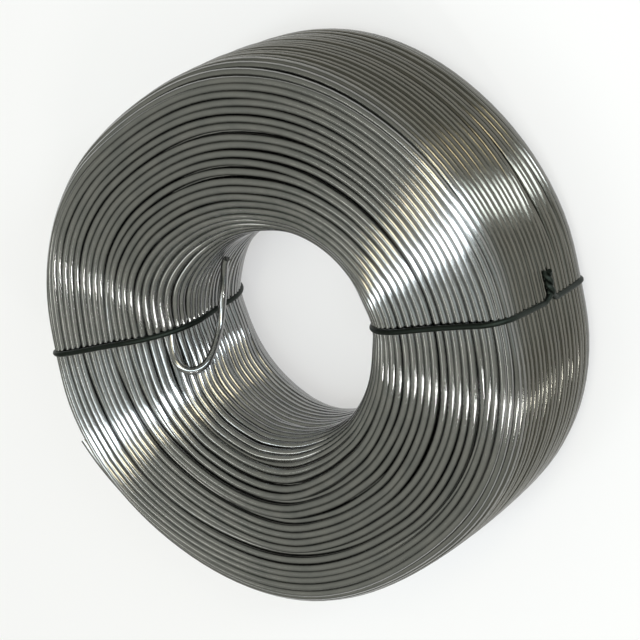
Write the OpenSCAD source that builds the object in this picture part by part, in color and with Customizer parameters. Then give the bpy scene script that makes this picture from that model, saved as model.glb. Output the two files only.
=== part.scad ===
// A coil of stainless steel tie wire, held by two black wire ties.
// It lies on its end. Its axis lies along Z, and the origin is at the centre of its bore.
// The tie on the -Y side has its twisted ends in view, and the other one is across the bore.

/* [Wire] */
// Diameter of the stainless wire, 16 gauge
wire_d = 1.6; // [1.2:0.1:2.2]
// Gap between one turn and the next along the coil's surface
turn_gap = 0.18; // [0.05:0.01:0.5]
// How far the lowest turns lie below the highest ones
turn_drop = 0.35; // [0:0.05:0.5]

/* [Coil] */
// Diameter over the middle of the outer surface
coil_od = 114; // [96:1:150]
// Width of the coil from end to end
coil_w = 34; // [30:1:60]
// Diameter of the bore at its throat
bore_d = 43; // [38:1:50]
// Radius of the rounding at each mouth of the bore
mouth_r = 12; // [8:0.5:14]
// Radius of the rounding at the outer corners
corner_r = 3.5; // [2:0.5:8]
// How far the middle of the outer surface stands proud of its edges
crown = 0.8; // [0:0.1:2]

/* [Ties] */
// Diameter of the black tie wire, 18 gauge
tie_d = 1.2; // [0.8:0.1:2]
// Running clearance between a tie and the turns that it holds
tie_clear = 0.15; // [0.1:0.05:0.4]
// Angle from the twisted tie round to the other one, in degrees
tie_spread = 176; // [150:1:180]
// Length of the twist that closes each tie
twist_len = 5; // [3:0.5:9]
// Full turns in that twist
twist_turns = 1.25; // [0.75:0.25:2.5]

/* [Wire ends] */
// Angle that the loose inner end spans along the bore, in degrees
inner_end_angle = 50; // [30:1:80]
// Height of the loose inner end above the middle of the bore
inner_end_z = 2.5; // [0:0.5:4]
// Bend radius where the inner end turns up to the mouth
inner_bend_r = 7; // [5:0.5:8]
// Bend radius where it then goes in among the turns
tuck_r = 4; // [3:0.5:5]
// Length of the loose outer end
outer_end_len = 28; // [16:1:40]
// How far its tip springs away from the coil
outer_end_lift = 1.6; // [0.8:0.1:3]

/* [Hidden] */

round_fn = 180;
wire_fn = 32;
strand_fn = 12;

coil_r = coil_od / 2;
bore_r = bore_d / 2;
half_w = coil_w / 2;

// The line of wire centres round the coil's section, as a rounded box
centre_half_w = half_w - wire_d / 2;
centre_r_out = coil_r - crown - wire_d / 2;
centre_r_in = bore_r + wire_d / 2;
centre_corner = corner_r - wire_d / 2;
centre_mouth = mouth_r - wire_d / 2;

// Lengths of its stretches: outer surface, outer corner, end, mouth and bore
outer_len = 2 * (centre_half_w - centre_corner);
corner_len = centre_corner * PI / 2;
end_len = centre_r_out - centre_corner - centre_r_in - centre_mouth;
mouth_len = centre_mouth * PI / 2;
bore_len = 2 * (centre_half_w - centre_mouth);

// Half the way round the section, and the whole number of turns that fits on it
half_girth = outer_len / 2 + corner_len + end_len + mouth_len + bore_len / 2;
turns_round = 2 * floor(half_girth / (wire_d + turn_gap));
turn_step = 2 * half_girth / turns_round;

// Where the stretches of one half end, measured from the middle of the outer surface
stop_outer = outer_len / 2;
stop_corner = stop_outer + corner_len;
stop_end = stop_corner + end_len;
stop_mouth = stop_end + mouth_len;

// Radius, height and outward direction at length s along the upper half of the section
function half_section(s) =
    s < stop_outer ? [centre_r_out, s, 0]
    : s < stop_corner ? corner_point((s - stop_outer) / corner_len * 90)
    : s < stop_end ? [centre_r_out - centre_corner - (s - stop_corner), centre_half_w, 90]
    : s < stop_mouth ? mouth_point(90 + (s - stop_end) / mouth_len * 90)
    : [centre_r_in, centre_half_w - centre_mouth - (s - stop_mouth), 180];

function corner_point(a) = [
    centre_r_out - centre_corner + centre_corner * cos(a),
    centre_half_w - centre_corner + centre_corner * sin(a), a];

function mouth_point(a) = [
    centre_r_in + centre_mouth + centre_mouth * cos(a),
    centre_half_w - centre_mouth + centre_mouth * sin(a), a];

// The whole section: the lower half mirrors the upper one
function section_at(s) =
    s <= half_girth ? half_section(s)
    : let (p = half_section(2 * half_girth - s)) [p[0], -p[1], -p[2]];

// Each turn lies a little deeper than the highest ones, in an uneven but fixed order
function drop(i) = turn_drop * (0.5 + 0.5 * sin(i * 137.5));
function slide(i) = turn_gap * 0.35 * sin(i * 97);
function crown_at(p) = crown * max(0, cos(p[2])) * (1 - pow(p[1] / centre_half_w, 2));

function turn_centre(i) =
    let (p = section_at((i + 0.5) * turn_step + slide(i)), d = drop(i), c = crown_at(p))
    [p[0] + c - d * cos(p[2]), p[1] - d * sin(p[2])];

turn_centres = [for (i = [0:turns_round - 1]) turn_centre(i)];

// The line of a tie's centre, outside the coil by its clearance
tie_out = tie_clear + tie_d / 2;
tie_half_w = half_w + tie_out;
tie_r_out = coil_r + tie_out;
tie_r_in = bore_r - tie_out;
tie_corner = corner_r + tie_out;
tie_mouth = mouth_r + tie_out;
tie_right_at = -90;
tie_left_at = tie_right_at + tie_spread;

// The loose inner end crosses the left tie, on its bore side, just before it bends
inner_r = tie_r_in - tie_d / 2 - tie_clear - wire_d / 2;
inner_bend_at = tie_left_at - 2.5;
tuck_z = inner_end_z + inner_bend_r + tuck_r;
tuck_bury = 1.5;
// Radius of the mouth's surface at the height where the wire goes in, and the straight length to there
tuck_wall_r = bore_r + mouth_r - sqrt(pow(mouth_r, 2) - pow(max(0, tuck_z - half_w + mouth_r), 2));
tuck_len = sqrt(pow(tuck_wall_r + tuck_bury, 2) - pow(inner_bend_r, 2)) - inner_r - tuck_r;

// The loose outer end leaves the upper edge of the outer surface on a wider arc, in line with a turn
outer_end_at = 136;
outer_end_z = half_w - corner_r;
outer_end_r = centre_r_out - 0.3;
outer_end_bow = 1 / (1 / outer_end_r - 2 * outer_end_lift / pow(outer_end_len, 2));
outer_end_turn = outer_end_len / outer_end_bow * 180 / PI;

module coil_section() {
    polygon(turn_centres);
    for (c = turn_centres) translate(c) circle(d = wire_d, $fn = wire_fn);
}

// An arc of round wire about the local Z axis, from local X towards local Y
module wire_arc(radius, angle, d) {
    rotate_extrude(angle = angle, $fn = round_fn) translate([radius, 0]) circle(d = d, $fn = wire_fn);
}

// The loose inner end: along the bore, up towards the mouth, then outwards in among the turns
module inner_end() {
    rotate([0, 0, inner_bend_at]) {
        translate([0, 0, inner_end_z]) mirror([0, 1, 0]) wire_arc(inner_r, inner_end_angle, wire_d);
        translate([inner_r, 0, inner_end_z + inner_bend_r]) rotate([0, 90, 0])
            wire_arc(inner_bend_r, 90, wire_d);
        translate([inner_r + tuck_r, inner_bend_r, inner_end_z + inner_bend_r]) rotate([90, 0, 180])
            wire_arc(tuck_r, 90, wire_d);
        translate([inner_r + tuck_r, inner_bend_r, tuck_z]) rotate([0, 90, 0])
            cylinder(d = wire_d, h = tuck_len, $fn = wire_fn);
    }
}

module outer_end() {
    rotate([0, 0, outer_end_at]) translate([outer_end_r - outer_end_bow, 0, outer_end_z])
        mirror([0, 1, 0]) wire_arc(outer_end_bow, outer_end_turn, wire_d);
}

module wire_coil() {
    color([0.62, 0.62, 0.58]) {
        rotate_extrude($fn = round_fn) coil_section();
        inner_end();
        outer_end();
    }
}

// A straight length of tie wire along local X
module tie_rod(length) {
    rotate([0, 90, 0]) cylinder(d = tie_d, h = length, $fn = wire_fn);
}

// One closed loop round the coil's section, drawn in the local XY plane: X is radius, Y is height
module tie_loop() {
    x_end = tie_r_out - tie_corner;
    x_mouth = tie_r_in + tie_mouth;
    y_corner = tie_half_w - tie_corner;
    y_mouth = tie_half_w - tie_mouth;
    translate([tie_r_out, -y_corner, 0]) rotate([0, 0, 90]) tie_rod(2 * y_corner);
    translate([tie_r_in, -y_mouth, 0]) rotate([0, 0, 90]) tie_rod(2 * y_mouth);
    for (side = [0, 1]) mirror([0, side, 0]) {
        translate([x_mouth, tie_half_w, 0]) tie_rod(x_end - x_mouth);
        translate([x_end, y_corner, 0]) wire_arc(tie_corner, 90, tie_d);
        translate([x_mouth, y_mouth, 0]) rotate([0, 0, 90]) wire_arc(tie_mouth, 90, tie_d);
    }
}

// The two ends of a tie, twisted together and laid along the turns
module tie_twist() {
    strand = tie_d * 0.46;
    translate([tie_r_out + strand, 0, 0])
    linear_extrude(height = twist_len, twist = -360 * twist_turns, slices = 24)
    for (side = [-1, 1]) translate([0, side * strand]) circle(d = tie_d, $fn = strand_fn);
}

module tie(angle) {
    color([0.13, 0.14, 0.13])
    rotate([0, 0, angle]) rotate([90, 0, 0]) mirror([0, 0, 1]) {
        tie_loop();
        tie_twist();
    }
}

module tie_left() { tie(tie_left_at); }
module tie_right() { tie(tie_right_at); }

wire_coil();
tie_left();
tie_right();
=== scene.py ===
# %% [markdown]
# A coil of stainless tie wire, lying on its end.
# The real thing is one long wire wound into a thick ring, with an open bore, and two black wires tied
# round it so that it can't spring open. The CAD frame gives its section and its size. What the frame
# leaves out is the winding itself: turns that wander, close up and dive under each other. This script
# adds that, then the loose ends, the ties and the metals. Lengths are in mm, and MM turns them into the
# metres that Blender works in.

# %% Load the fixed frame
import math
import random

import bmesh
import bpy
from mathutils import Matrix, Vector


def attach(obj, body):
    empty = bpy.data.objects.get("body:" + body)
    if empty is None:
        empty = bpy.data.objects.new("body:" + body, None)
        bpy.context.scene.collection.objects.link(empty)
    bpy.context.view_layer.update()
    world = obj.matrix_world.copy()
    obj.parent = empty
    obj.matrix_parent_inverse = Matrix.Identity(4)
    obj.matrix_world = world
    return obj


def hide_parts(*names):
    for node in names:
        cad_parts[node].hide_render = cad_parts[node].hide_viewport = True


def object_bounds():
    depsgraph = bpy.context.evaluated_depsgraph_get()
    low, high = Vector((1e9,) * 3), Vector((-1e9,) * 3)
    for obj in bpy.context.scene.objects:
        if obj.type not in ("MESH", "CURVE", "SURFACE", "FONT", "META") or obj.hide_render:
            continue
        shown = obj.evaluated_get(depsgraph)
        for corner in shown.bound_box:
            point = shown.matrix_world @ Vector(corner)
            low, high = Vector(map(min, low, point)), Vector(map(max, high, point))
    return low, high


MM = 0.001

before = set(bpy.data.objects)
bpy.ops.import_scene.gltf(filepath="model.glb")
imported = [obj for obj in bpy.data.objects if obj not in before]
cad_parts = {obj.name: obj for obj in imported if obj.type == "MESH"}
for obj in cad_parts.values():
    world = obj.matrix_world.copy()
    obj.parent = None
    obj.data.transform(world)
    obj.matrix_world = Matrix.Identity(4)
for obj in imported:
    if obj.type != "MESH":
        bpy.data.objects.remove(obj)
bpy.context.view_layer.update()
print("CAD nodes", sorted(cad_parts))


def put_in_scene(name, data):
    """An object that holds the data, linked to the scene and sitting at the origin."""
    thing = bpy.data.objects.new(name, data)
    bpy.context.scene.collection.objects.link(thing)
    return thing


# %% [markdown]
# The camera comes first. The photograph was taken with a long lens from above, and the picture is rolled,
# so that the coil seems to stand on its rim. A camera can be aimed by three angles, but with a roll they
# are hard to find. Directions say the same more plainly: what points right in the picture, where the lens
# looks, and, square to both, what points up.

# %% Camera
CAMERA_PLACE = (86.1, -247.3, 313.9)
PICTURE_RIGHT = (-0.2528, -0.7967, -0.5490)
LOOKS_ALONG = (-0.2123, 0.5992, -0.7720)

camera_data = bpy.data.cameras.new("camera")
camera_data.sensor_width = 36
camera_data.lens = 112.5
camera = put_in_scene("camera", camera_data)
looks_along = Vector(LOOKS_ALONG).normalized()
picture_up = Vector(PICTURE_RIGHT).normalized().cross(looks_along).normalized()
picture_right = looks_along.cross(picture_up)
camera_turn = Matrix((picture_right, picture_up, -looks_along)).transposed()
camera_place = Vector(CAMERA_PLACE) * MM
camera.matrix_world = Matrix.Translation(camera_place) @ camera_turn.to_4x4()
bpy.context.scene.camera = camera
print("camera distance in mm", round(camera_place.length / MM, 1))

# %% [markdown]
# The section of the coil is a rounded box: a flat outer side with a slight crown, tight outer corners,
# flat ends and a wide mouth at each end of the bore. It could be a profile that is spun round, as in the
# frame, but real turns have to be placed on it one by one. So the line of wire centres becomes a closed
# road with a length, and a turn is placed by how far along that road it lies. The road starts in the
# middle of the outer side and goes up, over the upper end, down the bore and back under the lower end.

# %% The road round the section
WIRE_R = 0.82
WIRE_D = 2 * WIRE_R
COIL_R = 57.0
COIL_HALF_WIDTH = 17.0
BORE_WALL_R = 21.5
CORNER_ROUNDING = 4.3
MOUTH_ROUNDING = 12.0
CROWN = 0.8

# The road lies one wire radius under the surface
HALF_WIDTH = COIL_HALF_WIDTH - WIRE_R
OUTER_R = COIL_R - CROWN - WIRE_R
BORE_R = BORE_WALL_R + WIRE_R
CORNER = CORNER_ROUNDING - WIRE_R
MOUTH = MOUTH_ROUNDING - WIRE_R

side_end = HALF_WIDTH - CORNER
corner_end = side_end + CORNER * math.pi / 2
face_end = corner_end + OUTER_R - CORNER - BORE_R - MOUTH
mouth_end = face_end + MOUTH * math.pi / 2
half_road = mouth_end + HALF_WIDTH - MOUTH
road = 2 * half_road


def section(s):
    """Radius, height and outward angle at a length s along the road."""
    s = s % road
    upper = s <= half_road
    q = s if upper else road - s
    if q < side_end:
        r, z, a = OUTER_R, q, 0.0
    elif q < corner_end:
        a = (q - side_end) / CORNER
        r = OUTER_R - CORNER + CORNER * math.cos(a)
        z = side_end + CORNER * math.sin(a)
    elif q < face_end:
        r, z, a = OUTER_R - CORNER - (q - corner_end), HALF_WIDTH, math.pi / 2
    elif q < mouth_end:
        a = math.pi / 2 + (q - face_end) / MOUTH
        r = BORE_R + MOUTH + MOUTH * math.cos(a)
        z = HALF_WIDTH - MOUTH + MOUTH * math.sin(a)
    else:
        r, z, a = BORE_R, HALF_WIDTH - MOUTH - (q - mouth_end), math.pi
    r += CROWN * max(0.0, math.cos(a)) * (1 - (z / HALF_WIDTH) ** 2)
    return (r, z, a) if upper else (r, -z, -a)


print("road round the section in mm", round(road, 2))

# %% [markdown]
# A hand-sized coil is never quite round. This one is longer along one slanted line, with smaller
# swellings round its outer side, and its bore is a little three-cornered. A lattice could bend the
# finished meshes, but it would squash the round wire too, so the places of the wire are moved before any
# mesh is made. Cosine waves round the axis do it, because they close on themselves.

# %% Out of round
# How much larger the outer side is on the whole, as a share of the radius
OUTER_SPREAD = 0.0138
# For each wave, how many swellings it has, their size as a share of the radius, and the angle of one
OUTER_WAVES = (
    (2, 0.0375, -61.2),
    (3, 0.0048, -20.1),
    (4, 0.0088, -23.0),
    (5, 0.0034, 35.0),
    (6, 0.0047, -9.1),
)
BORE_WAVES = (
    (2, 0.0169, -55.2),
    (3, 0.0228, 58.2),
)


def wobble(turn, waves):
    """The sum of the waves at an angle round the axis."""
    return sum(size * math.cos(swellings * (turn - math.radians(at))) for swellings, size, at in waves)


def out_of_round(r, turn):
    """The radius with its swelling, which changes evenly from the bore to the outer side."""
    outer = OUTER_SPREAD + wobble(turn, OUTER_WAVES)
    inner = wobble(turn, BORE_WAVES)
    share = min(1.0, max(0.0, (r - BORE_R) / (OUTER_R - BORE_R)))
    return r * (1 + inner + (outer - inner) * share)


outer_radii = [out_of_round(COIL_R, math.radians(degrees)) for degrees in range(360)]
print("outer radius in mm from", round(min(outer_radii), 1), "to", round(max(outer_radii), 1))

# %% [markdown]
# Two ties hold the coil, and each pulls the turns in where it crosses them. The ties are made later, but
# the turns need to know where they run. A tie isn't quite in one plane with the axis: it slants, so its
# angle round the axis changes a little on its way round the section.

# %% Where the ties run, and the pinch under them
# The angle of the tie, what is added to it on the outer side, and what is added on the upper end
TIE_TURNS = {"right": (-90.0, -0.7, 1.0), "left": (82.5, 4.0, 3.0)}
# How far a tie pulls the turns in, how much more on the outer side and in the bore, and to how many degrees
PINCH = 0.15
PINCH_MORE_ON_SIDES = 0.5
PINCH_REACH = 9


def tie_turn(side, s):
    """Where a tie crosses the road at s, as an angle round the axis."""
    middle, outer_more, upper_more = TIE_TURNS[side]
    way = s / road * 2 * math.pi
    return math.radians(middle + outer_more * math.cos(way) + upper_more * math.sin(way))


def angle_between(a, b):
    """The smaller angle from one direction round the axis to another."""
    return abs((a - b + math.pi) % (2 * math.pi) - math.pi)


def near_tie(s, turn, reach):
    """1 under a tie, and 0 a few reaches away, with the reach in degrees round the axis."""
    away = min(angle_between(turn, tie_turn(side, s)) for side in TIE_TURNS)
    return math.exp(-((math.degrees(away) / reach) ** 2))


def spot(s, lift, turn):
    """A place in metres: s along the road, lift above it, and turn round the axis."""
    r, z, a = section(s)
    lift = lift - (PINCH + PINCH_MORE_ON_SIDES * abs(math.cos(a))) * near_tie(s, turn, PINCH_REACH)
    r = out_of_round(r + lift * math.cos(a), turn)
    z = z + lift * math.sin(a)
    return Vector((r * math.cos(turn), r * math.sin(turn), z)) * MM


for side in TIE_TURNS:
    print(side, "tie on the outer side at degrees", round(math.degrees(tie_turn(side, 0)), 1))

# %% [markdown]
# The winding is one wire that goes round and round while it creeps along the road. Turns that all lay the
# same would look like a thread cut on a lathe. So random numbers are strung along the wire at even knots,
# and the wire reads a value that eases from one knot to the next. The seed is fixed, and every run winds
# the same coil. Coarse tracks give the gap to the next turn and the depth, fine ones a sway and a ripple.
# In a few places the wire dives under its neighbours, and they close over it.

# %% Random tracks along the wire
TURNS = 80
# Steps of the wire in one turn
STEPS = 116
STEP_COUNT = TURNS * STEPS
COARSE_KNOTS_IN_A_TURN = 4.7
FINE_KNOTS_IN_A_TURN = 11.3
COARSE_KNOTS = round(TURNS * COARSE_KNOTS_IN_A_TURN)
FINE_KNOTS = round(TURNS * FINE_KNOTS_IN_A_TURN)
# Gaps have no unit yet, because they are scaled later to fill the road
NARROW_GAPS = (0.0, 0.08)
WIDE_GAPS = (0.3, 1.0)
WIDE_SHARE = 0.36
LONGEST_RUN = 4
DEEPEST_KNOT = 0.3
SWAY = 0.16
RIPPLE = 0.05
# Dives are spread evenly, and each is shifted at random and lasts a random share of a turn either way
DIVES = 20
DIVE_SHIFT = 0.3
DIVE_HALF_TURNS = (0.14, 0.36)
rng = random.Random(1606)


def random_gaps():
    """One gap for each coarse knot, wide for whole runs of knots and narrow for the rest."""
    values = []
    while len(values) < COARSE_KNOTS:
        limits = WIDE_GAPS if rng.random() < WIDE_SHARE else NARROW_GAPS
        for _ in range(rng.randint(1, LONGEST_RUN)):
            values.append(rng.uniform(*limits))
    return values[:COARSE_KNOTS]


def read_track(values, t):
    """The value of a track t turns along the wire."""
    n = len(values)
    place = (t % TURNS) / TURNS * n
    i = int(place)
    f = place - i
    f = f * f * (3 - 2 * f)
    return values[i % n] * (1 - f) + values[(i + 1) % n] * f


gap_track = random_gaps()
depth_track = [rng.uniform(0.0, DEEPEST_KNOT) for _ in range(COARSE_KNOTS)]
sway_track = [rng.uniform(-SWAY, SWAY) for _ in range(FINE_KNOTS)]
ripple_track = [rng.uniform(-RIPPLE, RIPPLE) for _ in range(FINE_KNOTS)]
dives = []
for i in range(DIVES):
    middle = (i + 0.5 + rng.uniform(-DIVE_SHIFT, DIVE_SHIFT)) * TURNS / DIVES
    dives.append((middle, rng.uniform(*DIVE_HALF_TURNS)))
print("coarse knots", COARSE_KNOTS, "fine knots", FINE_KNOTS, "dives", len(dives))

# %% [markdown]
# The turns aren't equally uneven everywhere. They wander most on the ends of the coil, less on the outer
# side, and least in the bore and on the outer corners. One patch of the upper end, near the loose outer
# end, lies combed flat. Each of these places gets a function that says how much it counts at a spot, and
# that fades out softly, so that no line shows where it ends.

# %% Lively and calm places
LIVELY_OUTER_SIDE = 0.6
LIVELY_BORE = 0.3
CORNER_REACH = 4.5
COMBED_AT = corner_end + 5.0
COMBED_LENGTH = 8.0
COMBED_TURN = 128.0
COMBED_SPAN = 26.0


def near_corner(s):
    """1 on the outer corners, and 0 a few turns away from them."""
    middle = (side_end + corner_end) / 2
    away = min(abs(s - middle), abs(road - s - middle))
    return math.exp(-((away / CORNER_REACH) ** 2))


def lively(s):
    """1 on the ends of the coil, where the turns wander most, and less on its sides."""
    slope = section(s)[2]
    calmest = LIVELY_OUTER_SIDE if math.cos(slope) > 0 else LIVELY_BORE
    return calmest + (1 - calmest) * abs(math.sin(slope))


def combed(s, turn):
    """1 in the middle of the patch that lies combed flat, and 0 away from it."""
    along = (s - COMBED_AT) / COMBED_LENGTH
    about = math.degrees(angle_between(turn, math.radians(COMBED_TURN))) / COMBED_SPAN
    return math.exp(-(along ** 2) - about ** 2)


def turn_at(i):
    """The angle round the axis at step i of the wire."""
    return (i % STEPS) / STEPS * 2 * math.pi


print("lively on the outer side", round(lively(0), 2), "and on the end", round(lively(face_end), 2))

# %% [markdown]
# First the depth. A wire that dives goes down by most of its own thickness, stays there a while and comes
# up again. A plain cosine would only touch that depth, so it is made steeper and its bottom is cut flat.
# Close to a tie no wire dives, because the tie presses all the turns level.

# %% How deep the wire lies
FULL_DIVE = 0.86 * WIRE_D
DIVE_STEEPER = 1.3
# Degrees round the axis over which a tie calms the turns, and the share of their depth that is left under it
CALM_REACH = 16
DEPTH_UNDER_TIE = 0.4
# Shares of the depth that the combed patch and the outer corners take away
COMBED_LEVELS = 0.8
CORNER_LEVELS = 0.7


def depth(t):
    """How far the wire lies below the highest turns, in mm, t turns along it."""
    turn = t * 2 * math.pi
    s = t / TURNS * road
    calm = (1 - near_tie(s, turn, CALM_REACH)) * (1 - COMBED_LEVELS * combed(s, turn))
    base = read_track(depth_track, t) * (DEPTH_UNDER_TIE + (1 - DEPTH_UNDER_TIE) * calm)
    base = base * lively(s) * (1 - CORNER_LEVELS * near_corner(s))
    for middle, half in dives:
        away = abs((t - middle + TURNS / 2) % TURNS - TURNS / 2) / half
        if away < 1:
            dip = min(1.0, DIVE_STEEPER * (0.5 + 0.5 * math.cos(away * math.pi)))
            base += (FULL_DIVE - base) * dip * calm * (1 - near_corner(s))
    return base


depth_at = [depth(i / STEPS) for i in range(STEP_COUNT)]
print("deepest place in mm", round(max(depth_at), 2))

# %% [markdown]
# Then the place along the road. Two turns touch when their centres are one wire thickness apart, and where
# one lies deeper they come closer still. At each angle all the turns are laid side by side like this, a
# little closer than touching, so that no light shows between them. What is left of the road is shared out
# among their gaps. At the next angle the first turn starts a little further along, because the wire creeps
# on by one place in each time round.

# %% How the turns share the road
# Shares of the touching distance, on the whole and on the outer corners, and the most that calm takes off
TIGHT = 0.93
TIGHT_AT_CORNER = 0.76
CALM_TIGHTER = 0.1
# Two turns never come closer than this share of a wire thickness
CLOSEST = 0.5
# Shares of the gaps that the outer corners and the combed patch take away
CORNER_CLOSES = 0.8
COMBED_CLOSES = 0.75

gap_at = []
close_at = []
for i in range(STEP_COUNT):
    s = i / STEP_COUNT * road
    corner = near_corner(s)
    loose = lively(s) * (1 - CORNER_CLOSES * corner) * (1 - COMBED_CLOSES * combed(s, turn_at(i)))
    gap_at.append(read_track(gap_track, i / STEPS) * loose)
    fall = depth_at[(i + STEPS) % STEP_COUNT] - depth_at[i]
    tight = (TIGHT + (TIGHT_AT_CORNER - TIGHT) * corner) * (1 - CALM_TIGHTER + CALM_TIGHTER * lively(s))
    close_at.append(tight * math.sqrt(max(WIRE_D ** 2 - fall ** 2, (WIRE_D * CLOSEST) ** 2)))

road_at = [0.0] * STEP_COUNT
widest = 0.0
first_step = 0.0
for step in range(STEPS):
    column = range(step, STEP_COUNT, STEPS)
    slack = road - sum(close_at[i] for i in column)
    spread = slack / sum(gap_at[i] for i in column)
    if step == 0:
        first_step = close_at[0] + gap_at[0] * spread
    s = first_step * step / STEPS
    for i in column:
        road_at[i] = s
        s += close_at[i] + gap_at[i] * spread
        widest = max(widest, gap_at[i] * spread)
print("turns", TURNS, "widest gap in mm", round(widest, 2), "last slack", round(slack, 2))

# %% [markdown]
# A round wire could be a circle that is spun in many short steps, but a curve with a round bevel keeps its
# section square to its path by itself, so each wire is a curve made into a mesh. What shows in the gaps
# between the turns is the next layer down. It is a second wire, and each of its turns lies in the groove
# between two turns of the first, as the real ones do.

# %% Turns and the layer under them


def wire_piece(name, path, radius, resolution, closed=False):
    """A round wire along a path of places. It has four sides and two more for each step of resolution."""
    curve = bpy.data.curves.new(name + "_path", "CURVE")
    curve.dimensions = "3D"
    curve.bevel_depth = radius * MM
    curve.bevel_resolution = resolution
    curve.use_fill_caps = not closed
    spline = curve.splines.new("POLY")
    spline.points.add(len(path) - 1)
    for point, place in zip(spline.points, path):
        point.co = (*place, 1.0)
    spline.use_cyclic_u = closed
    spline.use_smooth = True
    holder = put_in_scene(name + "_path", curve)
    bpy.context.view_layer.update()
    mesh = bpy.data.meshes.new_from_object(holder.evaluated_get(bpy.context.evaluated_depsgraph_get()))
    bpy.data.objects.remove(holder)
    bpy.data.curves.remove(curve)
    mesh.name = name
    for polygon in mesh.polygons:
        polygon.use_smooth = len(polygon.vertices) <= 4
    print(name, "triangles", sum(len(polygon.vertices) - 2 for polygon in mesh.polygons))
    return put_in_scene(name, mesh)


# Little of the layer below shows, so it takes only every second step
UNDER_EVERY = 2
# The least that the square of a lower turn's distance below its neighbours can be, in square mm
LEAST_SINK_SQUARED = 0.2

top_path = []
for i in range(STEP_COUNT):
    sway = read_track(sway_track, i / STEPS)
    ripple = read_track(ripple_track, i / STEPS)
    top_path.append(spot(road_at[i] + sway, ripple - depth_at[i], turn_at(i)))

under_path = []
for i in range(0, STEP_COUNT, UNDER_EVERY):
    j = (i + STEPS) % STEP_COUNT
    gap = (road_at[j] - road_at[i]) % road
    sink = math.sqrt(max(WIRE_D ** 2 - (gap / 2) ** 2, LEAST_SINK_SQUARED)) + max(depth_at[i], depth_at[j])
    under_path.append(spot(road_at[i] + gap / 2, -sink, turn_at(i)))

wound_turns = wire_piece("wound_turns", top_path, WIRE_R, resolution=3, closed=True)
turns_below = wire_piece("turns_below", under_path, WIRE_R, resolution=2, closed=True)

# %% [markdown]
# Two loose ends of the same wire show. The inner one lies in the bore, passes over the left tie and hooks
# back in among the turns. A Bezier curve could draw it, but its handles have to be tuned one by one. A
# path that goes smoothly through all its places needs nothing but the places.

# %% Loose inner end


def through(places, parts):
    """A smooth path through all the places, with that many parts between two of them."""
    path = []
    last = len(places) - 1
    for i in range(last):
        before = places[max(i - 1, 0)]
        start = places[i]
        end = places[i + 1]
        after = places[min(i + 2, last)]
        line = end - before
        bend = 2 * before - 5 * start + 4 * end - after
        swing = 3 * start - before - 3 * end + after
        for k in range(parts):
            u = k / parts
            path.append(0.5 * (2 * start + line * u + bend * u ** 2 + swing * u ** 3))
    path.append(places[-1])
    return path


def polar(degrees, r, z):
    """A place in metres, from an angle round the axis, a radius and a height."""
    turn = math.radians(degrees)
    return Vector((r * math.cos(turn), r * math.sin(turn), z)) * MM


# Angle round the axis in degrees, radius and height, from the cut end to where it goes in among the turns
INNER_END = (
    (40.4, 20.5, 3.2), (44.8, 20.26, 3.0), (49.8, 19.86, 2.64), (60.6, 19.6, 1.81),
    (69.9, 19.5, 1.9), (78.6, 19.5, 2.5), (86.8, 19.5, 4.0), (93.2, 19.6, 6.0),
    (98.2, 19.9, 7.9), (101.9, 20.6, 10.0), (103.1, 21.6, 11.7), (102.2, 22.7, 13.0),
    (99.6, 23.7, 13.8), (95.7, 24.5, 14.0), (91.4, 25.1, 13.6), (85.0, 25.6, 12.6), (77.0, 26.0, 11.0),
)
inner_places = [polar(*place) for place in INNER_END]
inner_wire_end = wire_piece("inner_wire_end", through(inner_places, parts=6), WIRE_R, resolution=4)

# %% [markdown]
# The outer end springs away from the rim at the lower left of the picture. It starts in line with the
# turns, a little under their tops, and its lift grows with the square of the distance, as that of a bent
# spring does. Its places come from the same road as the turns.

# %% Loose outer end
# It starts at this angle, and its places are so many degrees apart
OUTER_END_FROM = 146
OUTER_END_STEP = 4.8
OUTER_END_PLACES = 9
OUTER_END_ALONG = side_end + 0.6
OUTER_END_SUNK = 0.2
OUTER_END_SPRING = 1.7

outer_places = []
for k in range(OUTER_END_PLACES):
    free = max(0.0, (k - 1) / (OUTER_END_PLACES - 2))
    lift = free ** 2 * OUTER_END_SPRING - OUTER_END_SUNK
    outer_places.append(spot(OUTER_END_ALONG, lift, math.radians(OUTER_END_FROM - OUTER_END_STEP * k)))
outer_wire_end = wire_piece("outer_wire_end", through(outer_places, parts=4), WIRE_R, resolution=4)

# %% [markdown]
# Each tie is one black wire. It could be a ring with two helices for the twist, but their joints would
# show. As in the real one, a single path starts at the tip of the twist, winds down it, goes once round
# the section and winds back up. It lies on the highest turns of the ends, and sinks in further on the
# outer side and in the bore.

# %% Ties
TIE_R = 0.55
# How far a tie presses into the highest turns, and how much further it sinks in on the sides
TIE_PRESS = 0.1
TIE_BITE = 0.55
TIE_LIFT = WIRE_R + TIE_R - TIE_PRESS
TWIST_LENGTH = 4.4
TWIST_TURNS = 1.25
TWIST_STEPS = 12
# The twist starts this far from the tie's own line, its axis lies this much lower, and its tips part a bit
TWIST_FOOT = 1.0
TWIST_SUNK = 0.15
TWIST_FAN = 0.25
STRAND_OFF_AXIS = TIE_R * 0.75
# The loop leaves out this much of the road on each side of the twist
LOOP_START = 2.0
LOOP_STEPS = 75


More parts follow.
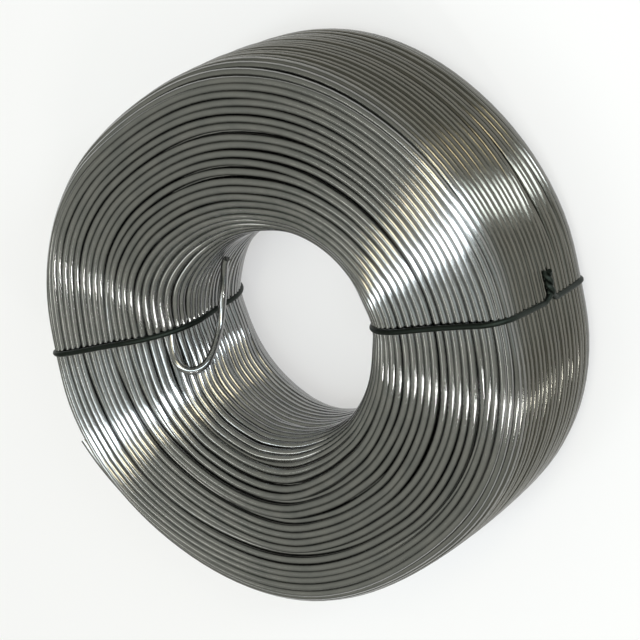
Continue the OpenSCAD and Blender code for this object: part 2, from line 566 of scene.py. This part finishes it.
def tie_path(side):
    """The path of a tie: down one strand of the twist, round the section, and up the other strand."""
    axis_lift = TIE_LIFT - TWIST_SUNK
    axis_r = OUTER_R + CROWN + axis_lift
    first_strand = []
    second_strand = []
    for k in range(TWIST_STEPS + 1):
        u = 1 - k / TWIST_STEPS
        along = tie_turn(side, 0) + (TWIST_FOOT + u * TWIST_LENGTH) / axis_r
        phase = math.pi / 2 + u * TWIST_TURNS * 2 * math.pi
        fan = 1 + TWIST_FAN * u ** 4
        for strand, flip in ((first_strand, 1), (second_strand, -1)):
            rise = math.sin(phase) * STRAND_OFF_AXIS * flip * fan
            out = math.cos(phase) * STRAND_OFF_AXIS * flip * fan
            strand.append(spot(rise, axis_lift + out, along))
    loop = []
    for k in range(LOOP_STEPS + 1):
        s = LOOP_START + (road - 2 * LOOP_START) * k / LOOP_STEPS
        bite = TIE_BITE * abs(math.cos(section(s)[2])) ** 0.5
        loop.append(spot(s, TIE_LIFT - bite, tie_turn(side, s)))
    return through(first_strand + loop + second_strand[::-1], parts=2)


right_tie = wire_piece("right_tie", tie_path("right"), TIE_R, resolution=4)
left_tie = wire_piece("left_tie", tie_path("left"), TIE_R, resolution=4)

# %% [markdown]
# Drawn wire is smooth, with very fine streaks along its length. Noise on plain coordinates would give it
# blotches. Here the noise reads the direction round the axis as a place on a small circle, and the radius
# and the height as they are. The turns lie further out than that circle, so the noise is stretched along
# them, most on the outer side. It starts from the piece's own coordinates, so it stays on the metal in
# every view.

# %% Nodes and streaks
STREAK_CIRCLE_R = 20 * MM


def add_node(tree, kind, settings=None, values=None, links=None):
    """A new node of that kind, with its settings, the values of its sockets and what is linked to them."""
    node = tree.nodes.new("ShaderNode" + kind)
    for name, value in (settings or {}).items():
        setattr(node, name, value)
    for socket, value in (values or {}).items():
        node.inputs[socket].default_value = value
    for socket, source in (links or {}).items():
        tree.links.new(source, node.inputs[socket])
    return node


def axis_places(tree):
    """Where a point lies: its radius, its height, and the place that the streaks read."""
    place = add_node(tree, "TexCoord")
    split = add_node(tree, "SeparateXYZ", links={0: place.outputs["Object"]})
    flat = add_node(tree, "CombineXYZ", links={"X": split.outputs["X"], "Y": split.outputs["Y"]})
    radius = add_node(tree, "VectorMath", {"operation": "LENGTH"}, links={0: flat.outputs[0]})
    direction = add_node(tree, "VectorMath", {"operation": "NORMALIZE"}, links={0: flat.outputs[0]})
    on_circle = add_node(
        tree, "VectorMath", {"operation": "SCALE"}, {"Scale": STREAK_CIRCLE_R}, {0: direction.outputs[0]},
    )
    raised = add_node(tree, "CombineXYZ", links={"Z": radius.outputs["Value"]})
    joined = add_node(
        tree, "VectorMath", {"operation": "ADD"}, links={0: on_circle.outputs[0], 1: raised.outputs[0]},
    )
    return radius.outputs["Value"], split.outputs["Z"], joined.outputs[0]


def streaks(tree, place, height, scale, detail):
    """Noise whose fourth dimension is the height, because the radius has taken the third."""
    noise = add_node(
        tree, "TexNoise", {"noise_dimensions": "4D"}, {"Scale": scale, "Detail": detail},
        {"Vector": place, "W": height},
    )
    return noise.outputs["Fac"]


print("streaks on the outer side are longer than wide by", round(COIL_R * MM / STREAK_CIRCLE_R, 1))

# %% [markdown]
# On the outer side the turns get painted shade: their colour is darkened there, because they mirror the
# bright floor and would otherwise look lighter than the real ones. Two kinds of wire would show a seam where
# they meet, so one metal has the painted shade multiplied in there. It fades in over 3 mm of the radius, and
# out over the last 7 mm of the height, and neither the flat ends nor the corners show an edge.

# %% Painted shade on the outer side
# The radii between which it fades in, and the heights above and below the middle where it fades out
PAINTED_SHADE_RADII = (51.5 * MM, 54.5 * MM)
PAINTED_SHADE_HEIGHTS = (10.5 * MM, 17.4 * MM)


def painted_shade_on_outer_side(tree, radius, height, colour, painted_shade):
    """The colour, multiplied by the painted shade where the point lies on the outer side."""
    rim = add_node(
        tree, "MapRange", {"interpolation_type": "SMOOTHSTEP"},
        {"From Min": PAINTED_SHADE_RADII[0], "From Max": PAINTED_SHADE_RADII[1]}, {"Value": radius},
    )
    off_middle = add_node(tree, "Math", {"operation": "ABSOLUTE"}, links={0: height})
    below_edge = add_node(
        tree, "MapRange", {"interpolation_type": "SMOOTHSTEP"},
        {"From Min": PAINTED_SHADE_HEIGHTS[0], "From Max": PAINTED_SHADE_HEIGHTS[1], "To Min": 1.0, "To Max": 0.0},
        {"Value": off_middle.outputs[0]},
    )
    painted_shade_mask = add_node(
        tree, "Math", {"operation": "MULTIPLY"},
        links={0: rim.outputs["Result"], 1: below_edge.outputs["Result"]},
    )
    painted_shade_mix = add_node(
        tree, "Mix", {"data_type": "RGBA", "blend_type": "MULTIPLY"}, {"B": (*painted_shade, 1)},
        {"Factor": painted_shade_mask.outputs[0], "A": colour},
    )
    return painted_shade_mix.outputs["Result"]


print("the tint begins at a radius in mm of", round(PAINTED_SHADE_RADII[0] / MM, 1))

# %% [markdown]
# Bright drawn stainless is nearly a mirror, and black annealed wire is dull with a slight sheen. A plain
# colour would make both look moulded. The two metals share one recipe: broad streaks carry the colour, and
# fine ones the roughness and a very shallow bump. The stainless also gets painted shade on its outer side.

# %% Metals
BROAD_GRAIN = 420
BUMP_DEPTH = 0.02 * MM


def metal(name, light, dark, roughness, grain, outer_painted_shade=None):
    """A wire's metal, from two colours, the lowest and highest roughness, and how fine its grain is."""
    material = bpy.data.materials.new(name)
    material.use_nodes = True
    tree = material.node_tree
    shader = tree.nodes["Principled BSDF"]
    shader.inputs["Metallic"].default_value = 1.0
    radius, height, place = axis_places(tree)
    shade = add_node(
        tree, "Mix", {"data_type": "RGBA"}, {"A": (*dark, 1), "B": (*light, 1)},
        {"Factor": streaks(tree, place, height, BROAD_GRAIN, 3)},
    )
    colour = shade.outputs["Result"]
    # Painted shade: the colour is darkened on the outer side, where the turns would look too light
    if outer_painted_shade:
        colour = painted_shade_on_outer_side(tree, radius, height, colour, outer_painted_shade)
    tree.links.new(colour, shader.inputs["Base Color"])
    fine = streaks(tree, place, height, grain, 2)
    spread = add_node(
        tree, "MapRange", values={"To Min": roughness[0], "To Max": roughness[1]}, links={"Value": fine},
    )
    tree.links.new(spread.outputs["Result"], shader.inputs["Roughness"])
    bump = add_node(tree, "Bump", values={"Strength": 0.25, "Distance": BUMP_DEPTH}, links={"Height": fine})
    tree.links.new(bump.outputs["Normal"], shader.inputs["Normal"])
    print(name, "nodes", len(tree.nodes))
    return material


# The last colour is painted shade, which darkens the turns on the outer side
stainless = metal(
    "stainless_wire", light=(0.4, 0.392, 0.38), dark=(0.235, 0.245, 0.247),
    roughness=(0.08, 0.22), grain=4000, outer_painted_shade=(0.43, 0.415, 0.362),
)
black_iron = metal(
    "black_tie_wire", light=(0.035, 0.043, 0.036), dark=(0.014, 0.018, 0.015),
    roughness=(0.4, 0.6), grain=3000,
)

# %% [markdown]
# Now each piece gets its metal and its body. The turns stand for the coil of the frame, and each tie for its
# own, so those three solids are hidden here. They stay in the frame for collision. Nothing on a coil moves,
# and all of it rides on the one body.

# %% Metals and bodies for the pieces
for piece in (wound_turns, turns_below, inner_wire_end, outer_wire_end):
    piece.data.materials.clear()
    piece.data.materials.append(stainless)
    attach(piece, "root")
    print(piece.name, "is of bright stainless wire")
for piece in (right_tie, left_tie):
    piece.data.materials.clear()
    piece.data.materials.append(black_iron)
    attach(piece, "root")
    print(piece.name, "is of black wire")
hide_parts("wire_coil")
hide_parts("tie_right")
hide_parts("tie_left")

# %% [markdown]
# The photograph's ground is plain white. A pale floor comes out grey where the lamps don't reach, and more
# light would wash out the metal. So half of what the camera sees of the floor is a glow of strength 1,
# which is white, and the other half still takes the coil's shadow. Rays that metal or glass send on see the
# same glow, so that the wire mirrors the floor as it looks. Other rays don't see it, and it lights nothing
# that is dull.

# %% Floor
# Half the width of the floor, in metres
FLOOR_REACH = 3
FLOOR_GLOW = 0.5

floor_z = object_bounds()[0][2]
floor_form = bmesh.new()
bmesh.ops.create_grid(floor_form, x_segments=1, y_segments=1, size=FLOOR_REACH)
bmesh.ops.translate(floor_form, verts=floor_form.verts, vec=(0, 0, floor_z))
floor_mesh = bpy.data.meshes.new("floor")
floor_form.to_mesh(floor_mesh)
floor_form.free()
floor = put_in_scene("floor", floor_mesh)

floor_white = bpy.data.materials.new("floor_white")
floor_white.use_nodes = True
floor_tree = floor_white.node_tree
chalk = floor_tree.nodes["Principled BSDF"]
chalk.inputs["Base Color"].default_value = (0.88, 0.865, 0.86, 1)
chalk.inputs["Roughness"].default_value = 0.9
chalk.inputs["Specular IOR Level"].default_value = 0.1
glow = add_node(floor_tree, "Emission")
ray = add_node(floor_tree, "LightPath")
seen = ray.outputs["Is Camera Ray"]
for kind in ("Is Glossy Ray", "Is Transmission Ray"):
    either = add_node(floor_tree, "Math", {"operation": "MAXIMUM"}, links={0: seen, 1: ray.outputs[kind]})
    seen = either.outputs[0]
glow_share = add_node(floor_tree, "Math", {"operation": "MULTIPLY"}, {1: FLOOR_GLOW}, {0: seen})
floor_look = add_node(
    floor_tree, "MixShader", links={"Fac": glow_share.outputs[0], 1: chalk.outputs[0], 2: glow.outputs[0]},
)
floor_tree.links.new(floor_look.outputs[0], floor_tree.nodes["Material Output"].inputs["Surface"])
floor.data.materials.append(floor_white)
print("floor at mm", round(floor_z / MM, 2))

# %% [markdown]
# Metal shows what is round it, and in an empty scene it would be black. The real coil seems to mirror a dim
# room with a paler ceiling. It needs no picture of a room: the surround is one grey that gets lighter
# towards the top, and its slight yellow gives the metal its warm tone between the lamps.

# %% Surround
world = bpy.data.worlds.new("studio")
bpy.context.scene.world = world
world.use_nodes = True
sky = world.node_tree
background = sky.nodes["Background"]
sky_place = add_node(sky, "TexCoord")
sky_split = add_node(sky, "SeparateXYZ", links={0: sky_place.outputs["Generated"]})
sky_ramp = add_node(
    sky, "MapRange", values={"To Min": 0.27, "To Max": 0.5}, links={"Value": sky_split.outputs["Z"]},
)
sky.links.new(sky_ramp.outputs["Result"], background.inputs["Strength"])
background.inputs["Color"].default_value = (0.98, 1.0, 0.885, 1)
print("surround colour", [round(v, 3) for v in background.inputs["Color"].default_value[:3]])

# %% [markdown]
# A turn of wire is a thin round mirror. It shows a lamp only where it runs square to the line halfway
# between lamp and eye, so each lamp gives one band across all the turns. One big soft lamp would make it
# too wide. Three strips in a row, from low on the camera's side to just past the top, make the bright band
# on both sides of the bore. A warm box beside them gives it its yellow edge, and a weak cool one fills in on
# their other side. Two small lamps make the rows of white dots, and a weak box behind lights the far turns.

# %% Lamps
# How far a lamp is from the origin, in metres
LAMP_DISTANCE = 0.9
STRIP_COLOUR = (0.84, 0.93, 1.0)
# Azimuth and elevation in degrees, width and height in metres, share of the plain level, and colour
LAMPS = {
    "strip_low": (-71.0, 22, 0.16, 0.6, 0.146, STRIP_COLOUR),
    "strip_middle": (-71.0, 58, 0.14, 0.6, 0.245, STRIP_COLOUR),
    "strip_top": (-71.0, 94, 0.12, 0.6, 0.195, STRIP_COLOUR),
    "small_lamp": (-149.0, 48, 0.03, 0.2, 0.062, (1.0, 1.0, 1.0)),
    "low_lamp": (-134.0, 28, 0.03, 0.14, 0.03, (1.0, 1.0, 1.0)),
    "cool_softbox": (-104.0, 50, 0.26, 0.9, 0.028, (0.75, 0.9, 1.0)),
    "back_softbox": (109.0, 64, 0.3, 0.12, 0.03, (1.0, 1.0, 0.95)),
    "warm_softbox": (-49.0, 57, 0.14, 0.5, 0.11, (1.0, 0.88, 0.6)),
}


def softbox(name, azimuth, elevation, width, height, share, colour):
    """A lamp that gives that share of the plain level on the floor, and faces the coil."""
    turn = math.radians(azimuth)
    rise = math.radians(elevation)
    lamp = bpy.data.lights.new(name, "AREA")
    lamp.shape = "RECTANGLE"
    lamp.size = width
    lamp.size_y = height
    lamp.energy = share * math.pi ** 2 * LAMP_DISTANCE ** 2 / math.sin(rise)
    lamp.color = colour
    holder = put_in_scene(name, lamp)
    towards = Vector((math.cos(rise) * math.cos(turn), math.cos(rise) * math.sin(turn), math.sin(rise)))
    holder.location = towards * LAMP_DISTANCE
    holder.rotation_euler = towards.to_track_quat("Z", "Y").to_euler()


for name, lamp in LAMPS.items():
    softbox(name, *lamp)
print("lamps give", round(sum(lamp[4] for lamp in LAMPS.values()), 3), "of the plain level")

bpy.context.scene.view_settings.view_transform = "Standard"
